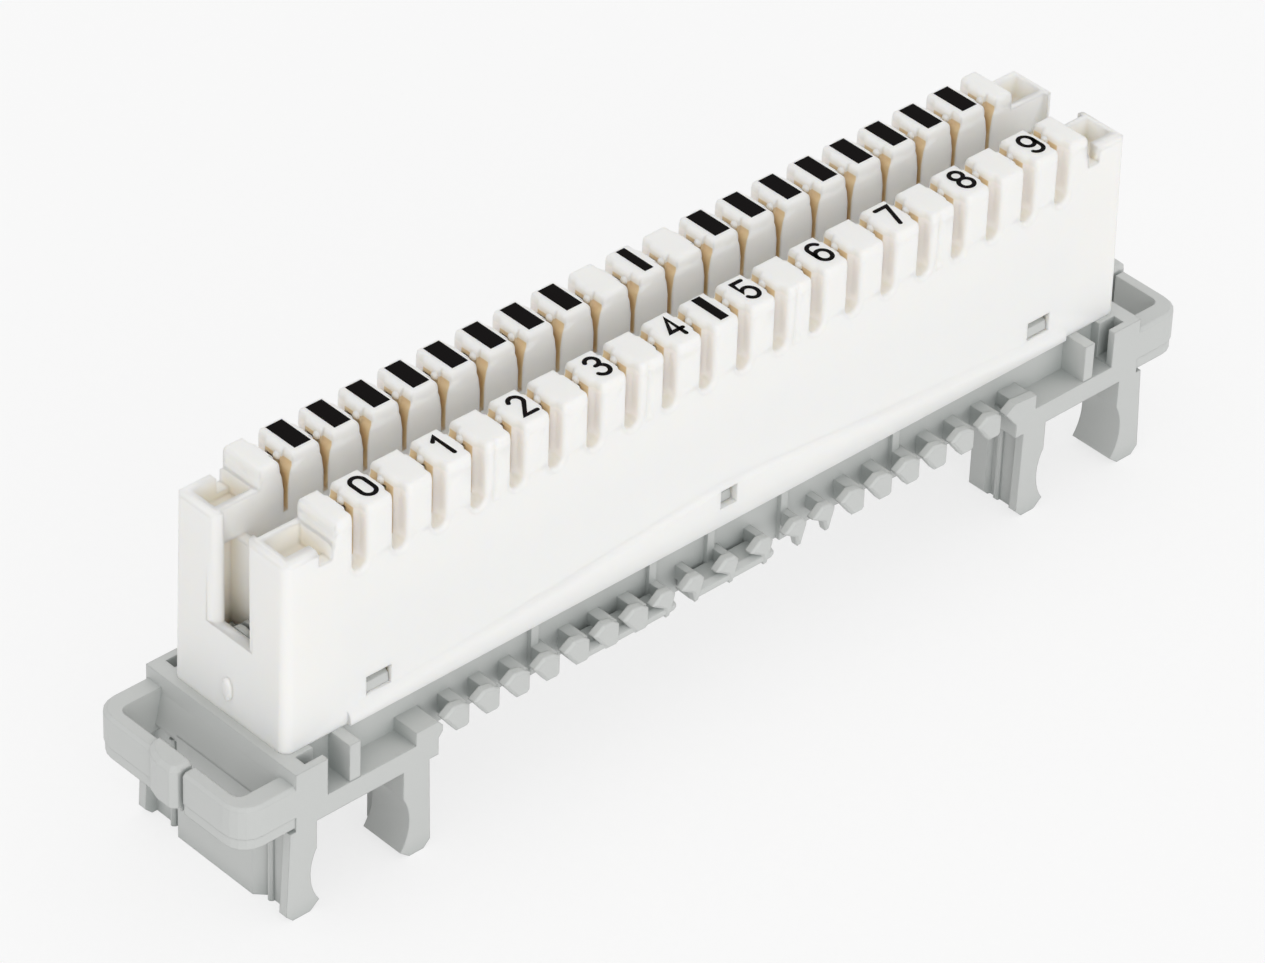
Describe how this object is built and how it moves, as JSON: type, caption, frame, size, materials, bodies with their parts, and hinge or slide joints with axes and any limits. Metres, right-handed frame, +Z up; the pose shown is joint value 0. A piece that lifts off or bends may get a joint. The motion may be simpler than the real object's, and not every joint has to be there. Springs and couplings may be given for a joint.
{
  "type": "punch down wiring block",
  "caption": "Two-row punch down terminal block: white slotted contact housing on a grey base with wire guide hooks, end loops and clip feet for two round bars.",
  "frame": {"origin": "middle of the block on the plane of the foot tips", "axes": "+Z up from the foot tips to the terminal slots, +X along the rows towards the higher numbers, +Y from the numbered row towards the barred row"},
  "size_m": [0.125, 0.0214, 0.0404],
  "materials": {
    "white_plastic": "satin moulded PBT",
    "grey_plastic": "satin moulded polycarbonate",
    "contact_metal": "silver-plated brass"
  },
  "bodies": {
    "root": {"base_moulding": "grey_plastic", "contact_back_01": "contact_metal", "contact_back_02": "contact_metal", "contact_back_03": "contact_metal", "contact_back_04": "contact_metal", "contact_back_05": "contact_metal", "contact_back_06": "contact_metal", "contact_back_07": "contact_metal", "contact_back_08": "contact_metal", "contact_back_09": "contact_metal", "contact_back_10": "contact_metal", "contact_back_11": "contact_metal", "contact_back_12": "contact_metal", "contact_back_13": "contact_metal", "contact_back_14": "contact_metal", "contact_back_15": "contact_metal", "contact_back_16": "contact_metal", "contact_back_17": "contact_metal", "contact_back_18": "contact_metal", "contact_back_19": "contact_metal", "contact_back_20": "contact_metal", "contact_front_01": "contact_metal", "contact_front_02": "contact_metal", "contact_front_03": "contact_metal", "contact_front_04": "contact_metal", "contact_front_05": "contact_metal", "contact_front_06": "contact_metal", "contact_front_07": "contact_metal", "contact_front_08": "contact_metal", "contact_front_09": "contact_metal", "contact_front_10": "contact_metal", "contact_front_11": "contact_metal", "contact_front_12": "contact_metal", "contact_front_13": "contact_metal", "contact_front_14": "contact_metal", "contact_front_15": "contact_metal", "contact_front_16": "contact_metal", "contact_front_17": "contact_metal", "contact_front_18": "contact_metal", "contact_front_19": "contact_metal", "contact_front_20": "contact_metal", "contact_housing": "white_plastic"}
  },
  "joints": []
}
